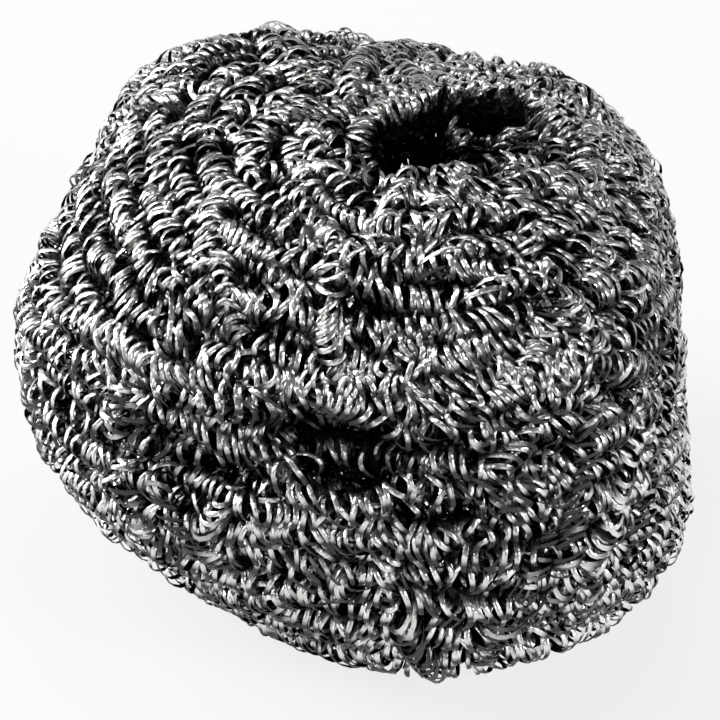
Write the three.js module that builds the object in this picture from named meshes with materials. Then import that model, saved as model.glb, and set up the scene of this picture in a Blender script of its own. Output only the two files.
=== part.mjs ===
// A spiral metal scourer: one long steel ribbon, curled into a springy coil that is wound into a ball.
// Millimetres and degrees. +Z is up, -Y is the front, and the origin is under the middle of the ball's box.
import * as THREE from "three";

// The ball's outside, as a distance from its middle in each direction.
const HALF_WIDTH = 39.5;
const HALF_HEIGHT = 32.5;
const SQUARENESS = 2.55; // 2 would be an ellipsoid, more is boxier
const PLAN_TURN = -14;
const PRESSED = 2.5; // how far the underside is pressed flat

// Where the soft ball bulges or sinks: broad lobes that make its main form, and smaller dents and bumps.
const LOBE_SPREAD = 30;
const LOBES = [
  { azimuth: 0, elevation: 0, height: -5.5 },
  { azimuth: 30, elevation: 35, height: -2.8 },
  { azimuth: 90, elevation: 54, height: -3.5 },
  { azimuth: 150, elevation: 35, height: 1.5 },
  { azimuth: 180, elevation: 0, height: 3.5 },
  { azimuth: -150, elevation: -35, height: -2 },
  { azimuth: -90, elevation: -54, height: 3.9 },
  { azimuth: -30, elevation: -35, height: 4 },
];
const DENT_SPREAD = 14;
const DENTS = [
  { azimuth: 67, elevation: 52, height: -2.4 },
  { azimuth: 145, elevation: 38, height: 2 },
  { azimuth: 164, elevation: 21, height: -2.2 },
  { azimuth: -178, elevation: -2, height: 1 },
  { azimuth: -166, elevation: -18, height: 0.6 },
  { azimuth: -23, elevation: -28, height: 1.2 },
  { azimuth: 19, elevation: 24, height: -0.5 },
];

// The eye that the coil is wound round, the fold in the front, a crease beside it and a dimple below.
const EYE = { azimuth: -38, elevation: 74, turn: -30, halfLength: 11, halfWidth: 5.5, depth: 18 };
const FOLD = { azimuth: -99, elevation: 14, turn: -8, halfLength: 9, halfWidth: 4.5, depth: 9 };
const CREASE = { azimuth: -128, elevation: 3, turn: 8, halfLength: 12, halfWidth: 3, depth: 4 };
const DIMPLE = { azimuth: -79, elevation: 2, turn: 6, halfLength: 4.5, halfWidth: 3, depth: 4 };
const POCKETS = [EYE, FOLD, CREASE, DIMPLE];

// The winding. Its rows run round the eye at the top and round the middle of the flat spot at the bottom.
const ROW_WIDTH = 6.3; // of a row, which stands for two strands of coil side by side
const TURNS = 1280; // turns of ribbon that show along the whole winding
const ROW_RELIEF = 2.8; // of a row's crest over the valley between two rows
const TURN_RELIEF = 1.5; // of a turn of ribbon over the notch beside it
const UNEVENNESS = 0.45; // how far single turns stand proud or sink
const SCATTER_STEP = 13; // radians from one turn to the next, in the sine that scatters them
const SCATTER_GAIN = 43758.5; // large, so that only the sine's last digits count
const SHOULDER = 0.23; // of a row's width, from its middle to each shoulder of its rounded top
const LAY = 0.25; // of the way to the next turn, how far a turn leans from one shoulder to the other
const MEANDER = 1.2; // sideways wander of the rows
const MEANDER_WAVES = 3; // round the ball
const MEANDER_LAG = 0.9; // radians from one row to the next

// How finely the lines of the winding are followed, and how many points they keep.
const MERIDIAN_STEPS = 180;
const MERIDIAN_SAMPLES = 24;
const STEPS_PER_ROW = 720;
const VALLEY_POINTS = 710;
const FLAT_SHARE = 0.35; // of the ridge points kept where the ball is pressed flat
const FLAT_ENOUGH = 0.01;
const LEAST_PER_ROW = 24; // points that even the smallest rows keep, at the winding's two ends

const RADIAN = Math.PI / 180;
const CENTRE_HEIGHT = HALF_HEIGHT - PRESSED;
const CENTRE = new THREE.Vector3(0, 0, CENTRE_HEIGHT);

function directionOf(azimuth, elevation) {
  const flat = Math.cos(elevation * RADIAN);
  const x = flat * Math.cos(azimuth * RADIAN);
  const y = flat * Math.sin(azimuth * RADIAN);
  return new THREE.Vector3(x, y, Math.sin(elevation * RADIAN));
}

const SWELLINGS = [
  ...LOBES.map((lobe) => ({ ...lobe, spread: LOBE_SPREAD })),
  ...DENTS.map((dent) => ({ ...dent, spread: DENT_SPREAD })),
];
const SWELLING_AXES = SWELLINGS.map((place) => directionOf(place.azimuth, place.elevation));

const EYE_AXIS = directionOf(EYE.azimuth, EYE.elevation);

// Each pocket's own axes: out of the ball, along the pocket and across it.
const POCKET_AXES = POCKETS.map((pocket) => {
  const out = directionOf(pocket.azimuth, pocket.elevation);
  const along = new THREE.Vector3(-out.y, out.x, 0).normalize();
  along.applyAxisAngle(out, pocket.turn * RADIAN);
  const across = new THREE.Vector3().crossVectors(out, along);
  return { out, along, across };
});

function boxyRadius(d) {
  const turn = PLAN_TURN * RADIAN;
  const x = d.x * Math.cos(turn) + d.y * Math.sin(turn);
  const y = d.y * Math.cos(turn) - d.x * Math.sin(turn);
  const terms = [x / HALF_WIDTH, y / HALF_WIDTH, d.z / HALF_HEIGHT];
  const sum = terms.reduce((total, term) => total + Math.abs(term) ** SQUARENESS, 0);
  return sum ** (-1 / SQUARENESS);
}

function pocketDepth(d, radius) {
  let depth = 0;
  POCKETS.forEach((pocket, i) => {
    const { out, along, across } = POCKET_AXES[i];
    if (d.dot(out) <= 0) return;
    const x = (radius * d.dot(along)) / pocket.halfLength;
    const y = (radius * d.dot(across)) / pocket.halfWidth;
    depth += pocket.depth * Math.exp(-((x * x + y * y) ** 2));
  });
  return depth;
}

function outsideRadius(d) {
  let radius = boxyRadius(d);
  SWELLINGS.forEach(({ height, spread }, i) => {
    const angle = d.angleTo(SWELLING_AXES[i]) / RADIAN;
    radius += height * Math.exp(-((angle / spread) ** 2));
  });
  return radius - pocketDepth(d, radius);
}

// A point of the ball, sunk below its outside and never under the flat spot.
function pointAt(d, sunk) {
  const floor = d.z < 0 ? -CENTRE_HEIGHT / d.z : Infinity;
  const radius = Math.min(outsideRadius(d) - sunk, floor);
  return d.clone().multiplyScalar(radius).add(CENTRE);
}

// The direction at an angle down from the eye and an angle round it. The eye draws the upper rows aside.
function windingDirection(polar, around) {
  const pull = (1 - polar / Math.PI) ** 2 / EYE_AXIS.z;
  const x = Math.sin(polar) * Math.cos(around) + pull * EYE_AXIS.x;
  const y = Math.sin(polar) * Math.sin(around) + pull * EYE_AXIS.y;
  return new THREE.Vector3(x, y, Math.cos(polar)).normalize();
}

// How far it is from the eye down the ball's side, averaged round the ball, at even polar steps.
function meridianLengths() {
  const lengths = new Array(MERIDIAN_STEPS + 1).fill(0);
  for (let k = 0; k < MERIDIAN_SAMPLES; k++) {
    const around = (2 * Math.PI * k) / MERIDIAN_SAMPLES;
    let sum = 0;
    let last = pointAt(windingDirection(0, around), 0);
    for (let i = 1; i <= MERIDIAN_STEPS; i++) {
      const next = pointAt(windingDirection((Math.PI * i) / MERIDIAN_STEPS, around), 0);
      sum += next.distanceTo(last);
      lengths[i] += sum / MERIDIAN_SAMPLES;
      last = next;
    }
  }
  return lengths;
}

const LENGTHS = meridianLengths();
const SIDE_LENGTH = LENGTHS[MERIDIAN_STEPS];
const ROWS = Math.round(SIDE_LENGTH / ROW_WIDTH);
const ROW_STEP = SIDE_LENGTH / ROWS;

function polarAtLength(length) {
  const wanted = Math.min(Math.max(length, 0), SIDE_LENGTH);
  let i = 1;
  while (i < MERIDIAN_STEPS && LENGTHS[i] < wanted) i++;
  const share = (wanted - LENGTHS[i - 1]) / (LENGTHS[i] - LENGTHS[i - 1]);
  return (Math.PI * (i - 1 + share)) / MERIDIAN_STEPS;
}

// The direction at a turn of the winding, some rows further down than the turn's own line.
function spiralDirection(turn, rowsDown) {
  const around = 2 * Math.PI * turn;
  const row = turn + rowsDown;
  const ends = Math.sin((Math.PI * row) / ROWS);
  const wander = MEANDER * ends * Math.sin(MEANDER_WAVES * around + MEANDER_LAG * row);
  return windingDirection(polarAtLength(row * ROW_STEP + wander), around);
}

// A fixed scatter between -1 and 1 for each turn.
function unevenness(i) {
  const value = Math.sin(i * SCATTER_STEP) * SCATTER_GAIN;
  return 2 * (value - Math.floor(value)) - 1;
}

// Turn numbers an even distance apart along a spiral line of the ball, with fewer of them on the flat spot.
function stations(count, rowsDown, flatShare) {
  const lengths = [];
  let before = pointAt(spiralDirection(-rowsDown, rowsDown), 0);
  for (let k = 1; k < ROWS * STEPS_PER_ROW; k++) {
    const point = pointAt(spiralDirection(k / STEPS_PER_ROW - rowsDown, rowsDown), 0);
    const share = point.z > FLAT_ENOUGH ? 1 : flatShare;
    lengths.push(share * point.distanceTo(before));
    before = point;
  }
  const spacing = lengths.reduce((sum, length) => sum + length, 0) / count;
  const least = (spacing * LEAST_PER_ROW) / STEPS_PER_ROW;
  const turns = [];
  let reached = 0;
  lengths.forEach((length, k) => {
    reached += Math.max(length, least);
    if (reached >= spacing * (turns.length + 1)) turns.push((k + 1) / STEPS_PER_ROW - rowsDown);
  });
  return turns;
}

const points = [];
const faces = [];

function addPoint(point) {
  points.push(point);
  return points.length - 1;
}

const TOP = addPoint(pointAt(windingDirection(0, 0), ROW_RELIEF));
const BOTTOM = addPoint(pointAt(windingDirection(Math.PI, 0), ROW_RELIEF));

// A line of the winding from the eye to the flat spot, its place given in rows below the turn's own line.
function line(turns, rowsDown, sinking) {
  const inside = turns.filter((turn) => turn > -rowsDown && turn < ROWS - rowsDown);
  const stops = inside.map((turn, i) => ({
    turn,
    index: addPoint(pointAt(spiralDirection(turn, rowsDown), sinking(i))),
  }));
  return [{ turn: -rowsDown, index: TOP }, ...stops, { turn: ROWS - rowsDown, index: BOTTOM }];
}

// Ridges and notches follow each other along both shoulders, the lower ones leaning on by the lay.
const turnSinking = (i) => (i % 2 ? TURN_RELIEF : 0) + UNEVENNESS * unevenness(i >> 1);
const upperTurns = stations(2 * TURNS, 0.5, FLAT_SHARE);
const lowerTurns = upperTurns.map((turn, i) => {
  const nextRidge = upperTurns[Math.min(i + 2, upperTurns.length - 1)];
  return turn + LAY * (nextRidge - turn);
});
const valley = line(stations(VALLEY_POINTS, 0, 1), 0, () => ROW_RELIEF);
const upperShoulder = line(upperTurns, 0.5 - SHOULDER, turnSinking);
const lowerShoulder = line(lowerTurns, 0.5 + SHOULDER, turnSinking);

function addFace(a, b, c) {
  if (a !== b && b !== c && c !== a) faces.push(a, b, c);
}

// Triangles between two neighbouring lines, taking the nearer next station of either line.
function zip(upper, lower, lag) {
  let i = 0;
  let j = 0;
  while (i < upper.length - 1 || j < lower.length - 1) {
    const nextUpper = i < upper.length - 1 ? upper[i + 1].turn + lag : Infinity;
    const nextLower = j < lower.length - 1 ? lower[j + 1].turn : Infinity;
    if (nextUpper <= nextLower) {
      addFace(upper[i].index, lower[j].index, upper[i + 1].index);
      i++;
    } else {
      addFace(upper[i].index, lower[j].index, lower[j + 1].index);
      j++;
    }
  }
}

zip(valley, upperShoulder, 0);
zip(upperShoulder, lowerShoulder, 0);
zip(lowerShoulder, valley, 1);

const geometry = new THREE.BufferGeometry().setFromPoints(points);
geometry.setIndex(faces);
geometry.computeBoundingBox();
const box = geometry.boundingBox;
geometry.translate(-(box.min.x + box.max.x) / 2, -(box.min.y + box.max.y) / 2, -box.min.z);
geometry.computeVertexNormals();

const steel = new THREE.MeshStandardMaterial({ color: 0xb9b8b4, roughness: 0.3, metalness: 1 });
const scourer = new THREE.Mesh(geometry, steel);
scourer.name = "scourer";

const part = new THREE.Group();
part.add(scourer);

export default part;
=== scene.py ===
import math

import bpy
import numpy as np
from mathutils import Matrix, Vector

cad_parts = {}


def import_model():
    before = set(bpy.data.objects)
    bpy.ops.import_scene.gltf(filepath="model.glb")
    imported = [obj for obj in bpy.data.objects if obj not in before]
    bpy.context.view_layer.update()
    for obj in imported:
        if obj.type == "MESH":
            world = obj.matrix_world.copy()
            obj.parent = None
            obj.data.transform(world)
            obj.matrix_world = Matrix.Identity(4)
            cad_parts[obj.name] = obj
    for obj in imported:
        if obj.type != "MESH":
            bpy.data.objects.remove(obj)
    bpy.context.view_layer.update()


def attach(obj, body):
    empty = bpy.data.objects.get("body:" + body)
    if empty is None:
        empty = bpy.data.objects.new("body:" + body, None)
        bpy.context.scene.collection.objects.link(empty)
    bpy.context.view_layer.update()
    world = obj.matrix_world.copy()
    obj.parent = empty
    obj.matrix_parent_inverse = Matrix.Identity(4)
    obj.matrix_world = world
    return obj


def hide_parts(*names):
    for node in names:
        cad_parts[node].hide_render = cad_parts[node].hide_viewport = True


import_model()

# The ball's outside in millimetres and degrees, about its middle, as in the part's source
MM = 0.001
CENTRE = np.array([3.762, 0.139, 30.0])
HALF_WIDTH = 39.5
HALF_HEIGHT = 32.5
SQUARENESS = 2.55
PLAN_TURN = -14

# The broad lobes, and the smaller dents and bumps: azimuth, elevation and height of each
LOBE_SPREAD = 30
LOBES = [
    (0, 0, -5.5),
    (30, 35, -2.8),
    (90, 54, -3.5),
    (150, 35, 1.5),
    (180, 0, 3.5),
    (-150, -35, -2.0),
    (-90, -54, 3.9),
    (-30, -35, 4.0),
]
DENT_SPREAD = 14
DENTS = [
    (67, 52, -2.4),
    (145, 38, 2.0),
    (164, 21, -2.2),
    (-178, -2, 1.0),
    (-166, -18, 0.6),
    (-23, -28, 1.2),
    (19, 24, -0.5),
]

# The pockets: azimuth, elevation, turn, half length, half width and depth of each
EYE = (-38, 74, -30, 11, 5.5, 18)
FOLD = (-99, 14, -8, 9, 4.5, 9)
CREASE = (-128, 3, 8, 12, 3, 4)
DIMPLE = (-79, 2, 6, 4.5, 3, 4)
POCKETS = [EYE, FOLD, CREASE, DIMPLE]

# The dark holes between rows: mouth, turn, direction out, half length, half height and depth of each
HOLES = [
    (-8.5, 71.8, 6, (-90, 40), 7.2, 1.9, 24),
    (-73, 75.9, 10, (-90, 40), 4.6, 2.7, 24),
    (-49.8, 59, 5, (-60, 45), 2.4, 1.2, 6),
    (-99, 16.6, -10, (-99, 32), 6.4, 1.7, 9),
    (-96.8, 7.8, -2, (-97, 28), 6.0, 0.9, 7),
    (-81, 15.6, 14, (-81, 26), 4.0, 0.7, 6),
    (-79, 2, 10, (-79, 22), 3.0, 1.0, 6),
]
# A row keeps this clear of a hole, and is cut in this share of the cleared room
HOLE_CLEARANCE = 1.3
HOLE_CORE = 0.3

# The winding: rows of coil from the eye to the flat spot, shell under shell
MERIDIAN_STEPS = 180
MERIDIAN_SAMPLES = 24
STEPS_PER_ROW = 2000
PATH_STEP = 0.2
ROW_STEP = 2.95
MEANDER = 1.2
MEANDER_WAVES = 3
MEANDER_LAG = 0.9
COIL_RADIUS = 1.78
SHELL_STEP = 2.15
WINDING_SUNK = 0.6
# Pitch of the turns, points round each turn and pieces of each shell, from the outside in
SHELLS = [(1.35, 12, 3), (1.4, 10, 2), (2.1, 8, 1)]

# Stretches laid over the winding: azimuth, elevation, heading, length, bend, depth and lean
LAID = [
    (-101, 23.5, -4, 24, -1.2, 1.0, 0),
    (-63, 22.5, 0, 44, -0.5, 1.0, 0),
    (-91, 6, 26, 18, 0.2, 1.0, 0),
    (-99.4, 10, 11, 12, 0, -3.7, 0),
    (-40.7, 62, -61.5, 13, 0, 0.6, 0),
    (-46, 57, -21, 18, 0.8, 1.2, 0),
    (81, 78, 28, 24, -0.6, 2.8, 0),
    (-136, 40.4, -51, 16, 0.3, 1.0, 0),
    (-111.6, 52.2, -38, 16, 0.3, 1.0, 0),
    (-69.8, 47.4, 4, 13, -4, 0.9, 1.2),
    (-61.7, 39.1, -8, 15, -4, 0.9, 1.2),
    (-24, 50, -8, 18, 0, 1.0, 1.0),
]
# How many more stretches are laid at random, and between what bounds each is drawn
STRANDS = 150
STRAND_LENGTH = (14, 38)
STRAND_SUNK = (1.5, 2.8)
STRAND_HEIGHTS = (-0.5, 0.95)
STRAND_BEND = 0.9
STRAND_LEAN = 1.3
# How the ends of every stretch are tucked in, how its coil is made, and in how many pieces all of them are
STRAND_TUCK = 4
STRAND_TUCK_POWER = 6
STRAND_PITCH = 1.35
STRAND_SEGMENTS = 12
STRAND_PIECES = 2

# Seed of every random draw
SEED = 7

# How the coil strays along its length: pairs of an amount and the millimetres from one stray to the next
BUNCHING = [(0.4, 7.0), (0.35, 2.1)]
STRAY_OUT = [(0.55, 9.0), (0.35, 4.0)]
STRAY_ASIDE = [(0.9, 15.0), (0.8, 6.0)]
SWELL_OUT = [(0.14, 8.0), (0.14, 1.5)]
SWELL_ASIDE = [(0.14, 7.0), (0.16, 1.4)]
LEAN_OUT = [(0.4, 12.0), (0.65, 1.6)]
LEAN_ASIDE = [(0.45, 14.0), (0.65, 1.5)]
TWIST = [(0.5, 1.8)]
PROUD = [(1.0, 2.5)]
# From what stray a turn stands proud and by how much, and how far its points crowd on its outside
PROUD_FROM = 0.75
PROUD_GAIN = 1.4
OUTER_CROWDING = 0.35
# Random values drawn past the whole spacings of a line, so that its end lies between two of them
SPARE_KNOTS = 3

# The ribbon's section, with the share of its width at which each corner lies, and its texture space
RIBBON_WIDTH = 0.62
RIBBON_THICKNESS = 0.14
CORNERS = 3
CORNERS_ACROSS = (0.0, 1.0, 0.5)
QUAD = 4
STRIP_EDGE = 0.1
MAP_STRIPS = 64

# The steel's two colours, in patches, and the span of noise from the one to the other
STEEL_DARK = (0.82, 0.814, 0.799, 1)
STEEL_PALE = (0.98, 0.974, 0.956, 1)
PATCHES_PER_METRE = 150
PATCH_DETAIL = 3
NOISE_SPAN = (0.3, 0.7)
# Streaks and crimps, by the millimetre along the ribbon and by its width across, with relief in metres
STREAK_SCALE = (0.35, 7, 1)
STREAK_DETAIL = 4
STREAK_SHADE = (0.84, 1.0)
STREAK_ROUGHNESS = (0.44, 0.2)
STREAK_RELIEF = 0.0000125
CRIMP_SCALE = (0.9, 0.5, 1)
CRIMP_DETAIL = 1
CRIMP_RELIEF = 0.0003
# How painted shade darkens the steel with its depth in the ball, and how squarely a turn faces out and up,
# with a painted highlight there and painted shade on its other sides
PAINTED_SHADE_DEPTH = (0.4, 6.5)
PAINTED_SHADE_LEVEL = (1.0, 0.34)
PAINTED_LIGHT_TILT = 1.35
PAINTED_LIGHT_FACING = (0.54, 0.88)
PAINTED_LIGHT_SHADE = (0.07, 1.0)

# The studio in metres: floor, background and lamps, each lamp with its place, width and power in watts
FLOOR_RADIUS = 2.1
FLOOR_SIDES = 96
SWEEP_RADIUS = 0.6
SWEEP_STEPS = 9
FLOOR_GREY = (0.85, 0.85, 0.85, 1)
FLOOR_WHITE_SHARE = 0.8
WHITE = (1, 1, 1, 1)
WORLD_STRENGTH = 0.07
LAMPS = [
    ("key", (-0.9, 0.2, 1.0), 1.0, 10.5),
    ("rim", (-1.1, 0.3, 0.4), 0.6, 10),
    ("front", (-0.45, -1.15, 0.6), 0.45, 2),
    ("fill", (0.8, -0.6, 0.55), 0.35, 3.4),
    ("top", (0.1, 0.4, 1.2), 0.7, 3.8),
]

# The camera, as the photograph sees the ball in its frame of 720 by 720 pixels
PHOTO_SIZE = 720
CAMERA_ELEVATION = 36
CAMERA_DISTANCE = 600
PIXELS_PER_MM = 8.32
MIDDLE_PIXEL = (386.5, 325.9)
SENSOR = 36
CLIP_START = 0.01

# The way up, and the smallest length that anything is divided by
UP = np.array([0, 0, 1])
TINY = 1e-9


def unit(vectors):
    return vectors / np.maximum(np.linalg.norm(vectors, axis=-1, keepdims=True), TINY)


def square_to(axis, vectors):
    """The unit directions nearest to some vectors and square to an axis at each of them."""
    return unit(vectors - (vectors * axis).sum(-1, keepdims=True) * axis)


def direction_of(azimuth, elevation):
    around = np.radians(azimuth)
    above = np.radians(elevation)
    return np.array([np.cos(around) * np.cos(above), np.sin(around) * np.cos(above), np.sin(above)])


def axes_at(out, turn):
    """The directions along and across a mark on the ball, turned up from level."""
    east = unit(np.array([-out[1], out[0], 0]))
    north = np.cross(out, east)
    spin = np.radians(turn)
    along = east * np.cos(spin) + north * np.sin(spin)
    return along, np.cross(out, along)


def boxy_radius(directions):
    """A box with well rounded corners, turned in plan, as a distance in each direction."""
    turn = np.radians(PLAN_TURN)
    x = directions[:, 0] * np.cos(turn) + directions[:, 1] * np.sin(turn)
    y = directions[:, 1] * np.cos(turn) - directions[:, 0] * np.sin(turn)
    shares = np.stack([x / HALF_WIDTH, y / HALF_WIDTH, directions[:, 2] / HALF_HEIGHT])
    return (np.abs(shares) ** SQUARENESS).sum(0) ** (-1 / SQUARENESS)


def swollen_radius(directions):
    """The box with its lobes and dents."""
    radius = boxy_radius(directions)
    for places, spread in ((LOBES, LOBE_SPREAD), (DENTS, DENT_SPREAD)):
        for azimuth, elevation, height in places:
            angle = np.degrees(np.arccos(np.clip(directions @ direction_of(azimuth, elevation), -1, 1)))
            radius = radius + height * np.exp(-((angle / spread) ** 2))
    return radius


def pocket_depth(directions, radius):
    total = np.zeros(len(directions))
    for azimuth, elevation, turn, half_length, half_width, depth in POCKETS:
        out = direction_of(azimuth, elevation)
        along, across = axes_at(out, turn)
        x = radius * (directions @ along) / half_length
        y = radius * (directions @ across) / half_width
        total += np.where(directions @ out > 0, depth * np.exp(-((x**2 + y**2) ** 2)), 0)
    return total


def outside_radius(directions):
    """The ball's outside as a distance from its middle in each direction."""
    radius = swollen_radius(directions)
    return radius - pocket_depth(directions, radius)


def surface_points(directions, sunk):
    """Points at a depth below the ball's outside and the same depth over the flat spot."""
    radius = outside_radius(directions) - sunk
    to_floor = (CENTRE[2] - sunk) / np.maximum(-directions[:, 2], TINY)
    return directions * np.minimum(radius, to_floor)[:, None]


def winding_direction(polar, around):
    """Directions on rings that close round the eye at the top and round the flat spot below."""
    eye = direction_of(EYE[0], EYE[1])
    pull = (1 - polar / np.pi) ** 2 / eye[2]
    x = np.sin(polar) * np.cos(around) + pull * eye[0]
    y = np.sin(polar) * np.sin(around) + pull * eye[1]
    return unit(np.stack([x, y, np.cos(polar)], -1))


def line_lengths(points):
    steps = np.linalg.norm(np.diff(points, axis=0), axis=1)
    return np.concatenate([[0], np.cumsum(steps)])


def resample(at, known, points):
    return np.stack([np.interp(at, known, column) for column in points.T], -1)


def meridian_lengths(polar, sunk):
    """How far down the ball each polar angle lies, averaged round it."""
    lengths = np.zeros(len(polar))
    for number in range(MERIDIAN_SAMPLES):
        around = np.full(len(polar), 2 * np.pi * number / MERIDIAN_SAMPLES)
        meridian = surface_points(winding_direction(polar, around), sunk)
        lengths += line_lengths(meridian) / MERIDIAN_SAMPLES
    return lengths


def winding_path(sunk):
    """The middle line of the coil wound over one shell of the ball, at even steps."""
    polar = np.linspace(0, np.pi, MERIDIAN_STEPS + 1)
    lengths = meridian_lengths(polar, sunk)
    rows = round(lengths[-1] / ROW_STEP)
    row_step = lengths[-1] / rows
    turn = np.linspace(0, rows - 1, rows * STEPS_PER_ROW)
    row = turn + 0.5
    around = 2 * np.pi * turn
    ends = np.sin(np.pi * row / rows)
    sideways = MEANDER * ends * np.sin(MEANDER_WAVES * around + MEANDER_LAG * row)
    directions = winding_direction(np.interp(row * row_step + sideways, lengths, polar), around)
    points = surface_points(directions, sunk)
    reached = line_lengths(points)
    return resample(np.arange(0, reached[-1], PATH_STEP), reached, points)


def strand_path(azimuth, elevation, heading, length, bend, sunk):
    """A short stretch of coil laid over the ball, its ends tucked in."""
    out = direction_of(azimuth, elevation)
    ahead, aside = axes_at(out, heading)
    reach = float(outside_radius(out[None])[0])
    step = np.linspace(-0.5, 0.5, int(length / PATH_STEP)) * length / reach
    directions = unit(out + step[:, None] * ahead + bend * (step**2)[:, None] * aside)
    ends = (2 * np.abs(step) * reach / length) ** STRAND_TUCK_POWER
    return surface_points(directions, sunk + STRAND_TUCK * ends)


def clear_of_holes(path):
    """The path pushed aside where it grazes a hole, and which of its points lie in no hole's core."""
    kept = np.ones(len(path), dtype=bool)
    for azimuth, elevation, turn, axis, half_length, half_height, depth in HOLES:
        mouth = direction_of(azimuth, elevation)
        mouth = mouth * swollen_radius(mouth[None])[0]
        out = direction_of(*axis)
        along, across = axes_at(out, turn)
        offset = path - mouth
        length = half_length + HOLE_CLEARANCE
        height = half_height + HOLE_CLEARANCE
        x = (offset @ along) / length
        y = (offset @ across) / height
        level = np.hypot(x, y)
        inside = (level < 1) & (offset @ out > -depth)
        kept &= ~(inside & (level < HOLE_CORE))
        push = np.where(inside, 1 / np.maximum(level, HOLE_CORE) - 1, 0)
        path = path + np.outer(x * push * length, along) + np.outer(y * push * height, across)
    return path, kept


def eased(share):
    return share * share * (3 - 2 * share)


def wander(at, strays, random):
    """A smooth random value along a line, summed from strays of some amount and spacing."""
    total = np.zeros(len(at))
    for amount, spacing in strays:
        knots = random.uniform(-1, 1, int(at.max() / spacing) + SPARE_KNOTS)
        place = at / spacing
        low = place.astype(int)
        share = eased(place - low)
        total += amount * (knots[low] * (1 - share) + knots[low + 1] * share)
    return total


def bunched_places(length, count, random):
    """Places along a length, close together here and far apart there."""
    at = np.cumsum(np.exp(wander(np.linspace(0, length, count), BUNCHING, random)))
    return (at - at[0]) / (at[-1] - at[0]) * length


def path_axes(path, length, at):
    """The path's points at some places along it, with the directions ahead, out of the ball and aside."""
    known = np.linspace(0, length, len(path))
    middle = resample(at, known, path)
    ahead = unit(resample(at, known, np.gradient(path, axis=0)))
    out = square_to(ahead, unit(middle))
    return middle, ahead, out, np.cross(ahead, out)


def turns(at, segments, lean, random):
    """How far out, aside and ahead of the coil's middle line each point of its turns lies."""
    proud = np.maximum(wander(at, PROUD, random) - PROUD_FROM, 0) * PROUD_GAIN
    angle = 2 * np.pi * np.arange(len(at)) / segments
    angle = angle - OUTER_CROWDING * np.sin(angle)
    out = COIL_RADIUS * (1 + wander(at, SWELL_OUT, random) + proud) * np.cos(angle)
    aside = COIL_RADIUS * (1 + wander(at, SWELL_ASIDE, random) + proud) * np.sin(angle)
    ahead = (lean + wander(at, LEAN_OUT, random)) * out
    ahead = ahead + wander(at, LEAN_ASIDE, random) * aside
    return out[:, None], aside[:, None], ahead[:, None]


def kept_runs(kept, shortest, lines):
    """The lines cut into the runs of points that are kept, short runs left out."""
    changes = np.diff(np.concatenate([[0], kept.astype(int), [0]]))
    spans = np.flatnonzero(changes).reshape(-1, 2)
    runs = [slice(first, end) for first, end in spans if end - first > shortest]
    return [[line[run] for line in lines] for run in runs]


def coil(path, pitch, segments, random, lean=0, bridging=False):
    """A ribbon curled round a path, in the runs that the holes leave of it unless it bridges them.

    Each run is the ribbon's middle line with the directions of its width and thickness.
    """
    length = PATH_STEP * (len(path) - 1)
    at = bunched_places(length, int(length / pitch) * segments, random)
    middle, ahead, out, aside = path_axes(path, length, at)
    middle = middle + out * wander(at, STRAY_OUT, random)[:, None]
    middle = middle + aside * wander(at, STRAY_ASIDE, random)[:, None]
    kept = np.ones(len(at), dtype=bool)
    if not bridging:
        middle, kept = clear_of_holes(middle)
    far_out, far_aside, far_ahead = turns(at, segments, lean, random)
    points = middle + out * far_out + aside * far_aside + ahead * far_ahead
    along = unit(np.gradient(points, axis=0))
    width = square_to(along, ahead + unit(points - middle) * wander(at, TWIST, random)[:, None])
    return kept_runs(kept, segments, (points, width, np.cross(along, width)))


def loose_strands(random):
    """The listed stretches, which bridge the holes, and those laid at random, which don't."""
    runs = []
    for *place, lean in LAID:
        runs += coil(strand_path(*place), STRAND_PITCH, STRAND_SEGMENTS, random, lean, bridging=True)
    for _ in range(STRANDS):
        azimuth = random.uniform(-180, 180)
        elevation = np.degrees(np.arcsin(random.uniform(*STRAND_HEIGHTS)))
        heading = random.uniform(-90, 90)
        length = random.uniform(*STRAND_LENGTH)
        bend = random.uniform(-STRAND_BEND, STRAND_BEND)
        sunk = random.uniform(*STRAND_SUNK)
        lean = random.uniform(-STRAND_LEAN, STRAND_LEAN)
        path = strand_path(azimuth, elevation, heading, length, bend, sunk)
        runs += coil(path, STRAND_PITCH, STRAND_SEGMENTS, random, lean)
    return runs


def ribbon_corners(points, width, normal):
    """Two edges and a ridge at each point of a ribbon, none of them under the floor."""
    edge = width * RIBBON_WIDTH / 2
    ridge = normal * RIBBON_THICKNESS
    corners = np.stack([points - edge, points + edge, points + ridge], 1).reshape(-1, 3)
    corners[:, 2] = np.maximum(corners[:, 2], -CENTRE[2])
    return corners


def ribbon_sides(count, first):
    ring = (first + np.arange(count - 1))[:, None, None] * CORNERS
    side = np.arange(CORNERS)[None, :, None]
    after = (side + 1) % CORNERS
    next_ring = ring + CORNERS
    sides = np.concatenate([ring + side, ring + after, next_ring + after, next_ring + side], -1)
    return sides.reshape(-1, QUAD)


def ribbon_ends(count, first):
    corner = np.arange(CORNERS)
    last = first + count - 1
    return np.stack([first * CORNERS + corner[::-1], last * CORNERS + corner])


def strip_map(count, first, total):
    """Texture space of one ribbon's sides, in strips that each hold a stretch of it."""
    ring = first + np.arange(count - 1)[:, None, None]
    start = ring * MAP_STRIPS / total
    strip = np.floor(start)
    ends = np.array([0, 0, 1, 1])[None, None, :] * MAP_STRIPS / total
    side = np.arange(CORNERS)[:, None]
    across = np.concatenate([side, side + 1, side + 1, side], 1) / CORNERS
    x = np.minimum(start - strip + ends, 1)
    y = (strip + STRIP_EDGE + (1 - 2 * STRIP_EDGE) * across[None]) / MAP_STRIPS
    return np.stack(np.broadcast_arrays(x, y), -1).reshape(-1, 2)


def length_map(points):
    """Millimetres along a ribbon and the share across it, at each of its corners."""
    along = np.repeat(line_lengths(points), CORNERS)
    across = np.tile(CORNERS_ACROSS, len(points))
    return np.stack([along, across], -1)


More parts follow.
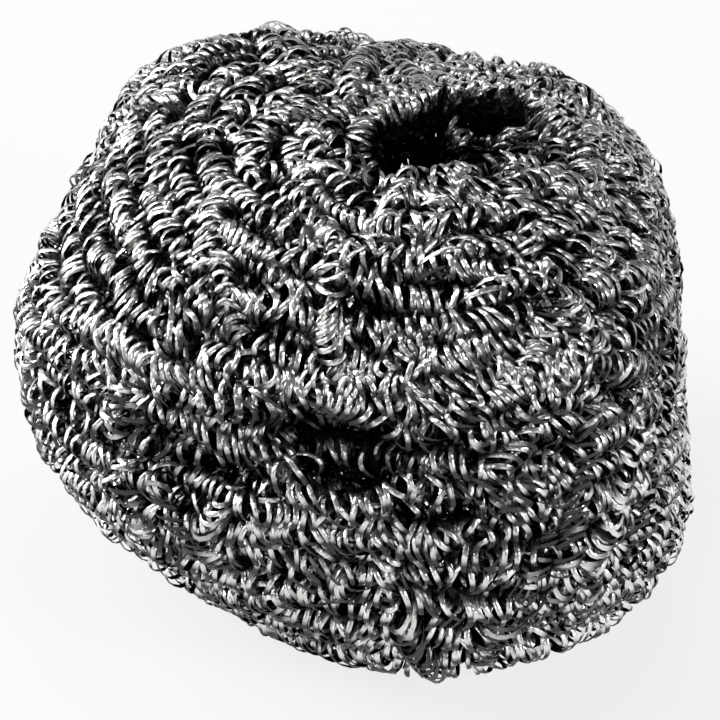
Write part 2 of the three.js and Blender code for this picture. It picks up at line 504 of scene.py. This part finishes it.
def facing_out_and_up(points, normal):
    """How squarely a ribbon faces out and up, the side that gets a painted highlight while its other sides
    get painted shade.
    """
    return (unit(unit(points) + PAINTED_LIGHT_TILT * UP) * normal).sum(-1)


def add_faces(mesh, sides, ends):
    loops = np.concatenate([sides.ravel(), ends.ravel()]).astype(np.int32)
    side_starts = np.arange(len(sides)) * QUAD
    end_starts = sides.size + np.arange(len(ends)) * CORNERS
    starts = np.concatenate([side_starts, end_starts]).astype(np.int32)
    mesh.loops.add(len(loops))
    mesh.loops.foreach_set("vertex_index", loops)
    mesh.polygons.add(len(starts))
    mesh.polygons.foreach_set("loop_start", starts)
    mesh.polygons.foreach_set("use_smooth", np.ones(len(starts), dtype=bool))
    mesh.update(calc_edges=True)
    return loops


def sharpen_edges(mesh):
    """Keep the ribbon's two long edges sharp, and its ridge smooth."""
    edges = np.zeros(len(mesh.edges) * 2, dtype=np.int32)
    mesh.edges.foreach_get("vertices", edges)
    one, other = edges.reshape(-1, 2).T
    along = np.abs(one - other) == CORNERS
    ridge = one % CORNERS == CORNERS - 1
    sharp = mesh.attributes.new("sharp_edge", "BOOLEAN", "EDGE")
    sharp.data.foreach_set("value", along & ~ridge)


def add_map(mesh, name, values):
    mesh.uv_layers.new(name=name).data.foreach_set("uv", values.ravel().astype(np.float32))


def add_value(mesh, name, values):
    mesh.attributes.new(name, "FLOAT", "POINT").data.foreach_set("value", values)


def ribbon_mesh(name, lines):
    """Closed ribbons along lines: flat inside, a low ridge outside and sharp edges."""
    counts = [len(points) for points, _, _ in lines]
    firsts = np.concatenate([[0], np.cumsum(counts)[:-1]])
    spans = list(zip(counts, firsts))
    corners = np.concatenate([ribbon_corners(*line) for line in lines])
    sides = np.concatenate([ribbon_sides(*span) for span in spans])
    ends = np.concatenate([ribbon_ends(*span) for span in spans])
    strips = [strip_map(*span, sum(counts)) for span in spans]
    lengths = np.concatenate([length_map(points) for points, _, _ in lines])
    # Depth in the ball drives the steel's painted shade, and facing out and up drives its painted
    # highlight
    depths = swollen_radius(unit(corners)) - np.linalg.norm(corners, axis=1)
    facing = np.concatenate([facing_out_and_up(points, normal) for points, _, normal in lines])
    mesh = bpy.data.meshes.new(name)
    mesh.vertices.add(len(corners))
    mesh.vertices.foreach_set("co", ((corners + CENTRE) * MM).ravel())
    loops = add_faces(mesh, sides, ends)
    sharpen_edges(mesh)
    add_value(mesh, "depth", depths)
    add_value(mesh, "facing", np.repeat(facing, CORNERS))
    add_map(mesh, "OFBake", np.concatenate(strips + [np.zeros((ends.size, 2))]))
    add_map(mesh, "length", lengths[loops])
    return mesh


def ribbons(name, lines, material):
    """One piece of the scourer, which rides on its body and stands for its solid."""
    mesh = ribbon_mesh(name, lines)
    mesh.materials.append(material)
    piece = bpy.data.objects.new(name, mesh)
    bpy.context.scene.collection.objects.link(piece)
    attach(piece, "root")
    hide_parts("scourer")


def shared_out(runs, groups):
    """The runs in groups of even length, a run cut in two where a group is full."""
    room = math.ceil(sum(len(points) for points, _, _ in runs) / groups)
    shared = [[]]
    left = room
    for run in runs:
        first = 0
        count = len(run[0])
        while count - first > left:
            shared[-1].append([values[first:first + left + 1] for values in run])
            shared.append([])
            first += left
            left = room
        shared[-1].append([values[first:] for values in run])
        left -= count - first
    return shared


def winding(shell, pitch, segments, groups, material, random):
    """One shell of the wound coil, in a few pieces."""
    path = winding_path(COIL_RADIUS + WINDING_SUNK + SHELL_STEP * shell)
    runs = coil(path, pitch, segments, random)
    for number, group in enumerate(shared_out(runs, groups)):
        ribbons(f"winding_{shell}_{number}", group, material)


def loose_winding(material, random):
    """The stretches that lie over the shells, in a few pieces."""
    for number, group in enumerate(shared_out(loose_strands(random), STRAND_PIECES)):
        ribbons(f"loose_strands_{number}", group, material)


def noise(nodes, links, vector, scale, detail):
    texture = nodes.new("ShaderNodeTexNoise")
    texture.inputs["Scale"].default_value = scale
    texture.inputs["Detail"].default_value = detail
    links.new(vector, texture.inputs["Vector"])
    return texture.outputs["Fac"]


def ribbon_noise(nodes, links, scale, detail):
    """Noise that follows the ribbon's length and width."""
    ribbon = nodes.new("ShaderNodeUVMap")
    ribbon.uv_map = "length"
    stretch = nodes.new("ShaderNodeMapping")
    stretch.inputs["Scale"].default_value = scale
    links.new(ribbon.outputs["UV"], stretch.inputs["Vector"])
    return noise(nodes, links, stretch.outputs["Vector"], 1, detail)


def mapped(nodes, links, value, span, to, smooth=False):
    between = nodes.new("ShaderNodeMapRange")
    if smooth:
        between.interpolation_type = "SMOOTHSTEP"
    between.inputs["From Min"].default_value, between.inputs["From Max"].default_value = span
    between.inputs["To Min"].default_value, between.inputs["To Max"].default_value = to
    links.new(value, between.inputs["Value"])
    return between.outputs["Result"]


def mesh_value(nodes, name):
    attribute = nodes.new("ShaderNodeAttribute")
    attribute.attribute_name = name
    return attribute.outputs["Fac"]


def of_two(nodes, links, operation, one, other):
    both = nodes.new("ShaderNodeMath")
    both.operation = operation
    links.new(one, both.inputs[0])
    links.new(other, both.inputs[1])
    return both.outputs[0]


def relief(nodes, links, height, distance):
    bump = nodes.new("ShaderNodeBump")
    bump.inputs["Distance"].default_value = distance
    links.new(height, bump.inputs["Height"])
    return bump


def steel_tint(nodes, links):
    """Patches of darker and paler steel."""
    place = nodes.new("ShaderNodeTexCoord")
    patches = noise(nodes, links, place.outputs["Object"], PATCHES_PER_METRE, PATCH_DETAIL)
    ramp = nodes.new("ShaderNodeValToRGB")
    for element, position, colour in zip(ramp.color_ramp.elements, NOISE_SPAN, (STEEL_DARK, STEEL_PALE)):
        element.position = position
        element.color = colour
    links.new(patches, ramp.inputs["Fac"])
    return ramp.outputs["Color"]


def steel_streaks_and_painted_light(nodes, links, streaks):
    """Streaks, painted shade that darkens the steel inside the ball, and a painted highlight on the side
    of each turn that faces out and up, with painted shade on its other sides.
    """
    worn = mapped(nodes, links, streaks, NOISE_SPAN, STREAK_SHADE)
    painted_depth_shade = mapped(nodes, links, mesh_value(nodes, "depth"), PAINTED_SHADE_DEPTH, PAINTED_SHADE_LEVEL, smooth=True)
    painted_side_light = mapped(nodes, links, mesh_value(nodes, "facing"), PAINTED_LIGHT_FACING, PAINTED_LIGHT_SHADE, smooth=True)
    painted_light_and_shade = of_two(nodes, links, "MULTIPLY", painted_depth_shade, painted_side_light)
    return of_two(nodes, links, "MULTIPLY", painted_light_and_shade, worn)


def steel_relief(nodes, links, streaks):
    """Fine streaks over the coarse crimps of a curled ribbon."""
    fine = relief(nodes, links, streaks, STREAK_RELIEF)
    crimps = ribbon_noise(nodes, links, CRIMP_SCALE, CRIMP_DETAIL)
    coarse = relief(nodes, links, crimps, CRIMP_RELIEF)
    links.new(fine.outputs["Normal"], coarse.inputs["Normal"])
    return coarse.outputs["Normal"]


def steel():
    """Bright streaked and crimped ribbon, with painted shade inside the ball and away from the side of
    each turn that faces out and up, which gets a painted highlight.
    """
    material = bpy.data.materials.new("steel")
    material.use_nodes = True
    nodes = material.node_tree.nodes
    links = material.node_tree.links
    shader = nodes["Principled BSDF"]
    shader.inputs["Metallic"].default_value = 1.0
    streaks = ribbon_noise(nodes, links, STREAK_SCALE, STREAK_DETAIL)
    colour = nodes.new("ShaderNodeVectorMath")
    colour.operation = "SCALE"
    links.new(steel_tint(nodes, links), colour.inputs[0])
    links.new(steel_streaks_and_painted_light(nodes, links, streaks), colour.inputs["Scale"])
    links.new(colour.outputs[0], shader.inputs["Base Color"])
    links.new(mapped(nodes, links, streaks, NOISE_SPAN, STREAK_ROUGHNESS), shader.inputs["Roughness"])
    links.new(steel_relief(nodes, links, streaks), shader.inputs["Normal"])
    return material


def seen_rays(nodes, links):
    """1 for rays from the camera, or thrown on by gloss or glass, and 0 for all others."""
    rays = nodes.new("ShaderNodeLightPath")
    seen = rays.outputs["Is Camera Ray"]
    for kind in ("Is Glossy Ray", "Is Transmission Ray"):
        seen = of_two(nodes, links, "MAXIMUM", seen, rays.outputs[kind])
    return seen


def pale_finish():
    """Matt grey that the camera and the steel see as nearly white, with a share of its shading left."""
    material = bpy.data.materials.new("floor")
    material.use_nodes = True
    nodes = material.node_tree.nodes
    links = material.node_tree.links
    nodes.clear()
    out = nodes.new("ShaderNodeOutputMaterial")
    matt = nodes.new("ShaderNodeBsdfDiffuse")
    matt.inputs["Color"].default_value = FLOOR_GREY
    white = nodes.new("ShaderNodeEmission")
    white.inputs["Strength"].default_value = 1.0
    share = mapped(nodes, links, seen_rays(nodes, links), (0, 1), (0, FLOOR_WHITE_SHARE))
    mix = nodes.new("ShaderNodeMixShader")
    links.new(share, mix.inputs["Fac"])
    links.new(matt.outputs[0], mix.inputs[1])
    links.new(white.outputs[0], mix.inputs[2])
    links.new(mix.outputs[0], out.inputs["Surface"])
    return material


def floor_mesh():
    """A flat disc whose rim sweeps up into a low wall all round."""
    around = 2 * np.pi * np.arange(FLOOR_SIDES) / FLOOR_SIDES
    turn, bend = np.meshgrid(around, np.linspace(0, np.pi / 2, SWEEP_STEPS))
    radius = FLOOR_RADIUS + SWEEP_RADIUS * np.sin(bend)
    height = SWEEP_RADIUS * (1 - np.cos(bend))
    rings = np.stack([radius * np.cos(turn), radius * np.sin(turn), height], -1)
    faces = [tuple(range(FLOOR_SIDES))]
    for step in range(SWEEP_STEPS - 1):
        low = step * FLOOR_SIDES
        high = low + FLOOR_SIDES
        for side in range(FLOOR_SIDES):
            after = (side + 1) % FLOOR_SIDES
            faces.append((low + side, high + side, high + after, low + after))
    mesh = bpy.data.meshes.new("floor")
    mesh.from_pydata(rings.reshape(-1, 3).tolist(), [], faces)
    mesh.shade_smooth()
    return mesh


def floor():
    mesh = floor_mesh()
    mesh.materials.append(pale_finish())
    sheet = bpy.data.objects.new("floor", mesh)
    bpy.context.scene.collection.objects.link(sheet)


def area_light(name, place, size, power):
    """A round lamp that points at the ball's middle height."""
    light = bpy.data.lights.new(name, "AREA")
    light.shape = "DISK"
    light.size = size
    light.energy = power
    lamp = bpy.data.objects.new(name, light)
    bpy.context.scene.collection.objects.link(lamp)
    lamp.location = place
    aim = Vector((0, 0, CENTRE[2] * MM)) - Vector(place)
    lamp.rotation_euler = aim.to_track_quat("-Z", "Y").to_euler()


def world():
    made = bpy.data.worlds.new("studio")
    bpy.context.scene.world = made
    made.use_nodes = True
    background = made.node_tree.nodes["Background"]
    background.inputs["Color"].default_value = WHITE
    background.inputs["Strength"].default_value = WORLD_STRENGTH


def camera():
    """A camera that shows the ball's middle at its pixel in the photograph, at the same scale."""
    lens = bpy.data.cameras.new("camera")
    lens.sensor_width = SENSOR
    lens.lens = SENSOR * PIXELS_PER_MM * CAMERA_DISTANCE / PHOTO_SIZE
    lens.clip_start = CLIP_START
    viewer = bpy.data.objects.new("camera", lens)
    bpy.context.scene.collection.objects.link(viewer)
    tilt = math.radians(CAMERA_ELEVATION)
    right = np.array([1.0, 0, 0])
    up = np.array([0, math.sin(tilt), math.cos(tilt)])
    back = np.array([0, -math.cos(tilt), math.sin(tilt)])
    across = (MIDDLE_PIXEL[0] - PHOTO_SIZE / 2) / PIXELS_PER_MM
    above = (PHOTO_SIZE / 2 - MIDDLE_PIXEL[1]) / PIXELS_PER_MM
    viewer.location = (CENTRE - right * across - up * above + back * CAMERA_DISTANCE) * MM
    viewer.rotation_euler = (math.radians(90) - tilt, 0, 0)
    bpy.context.scene.camera = viewer


bpy.context.scene.view_settings.view_transform = "Standard"
finish = steel()
draws = np.random.RandomState(SEED)
for shell, (pitch, segments, groups) in enumerate(SHELLS):
    winding(shell, pitch, segments, groups, finish, draws)
loose_winding(finish, draws)

floor()
world()
for lamp in LAMPS:
    area_light(*lamp)
camera()
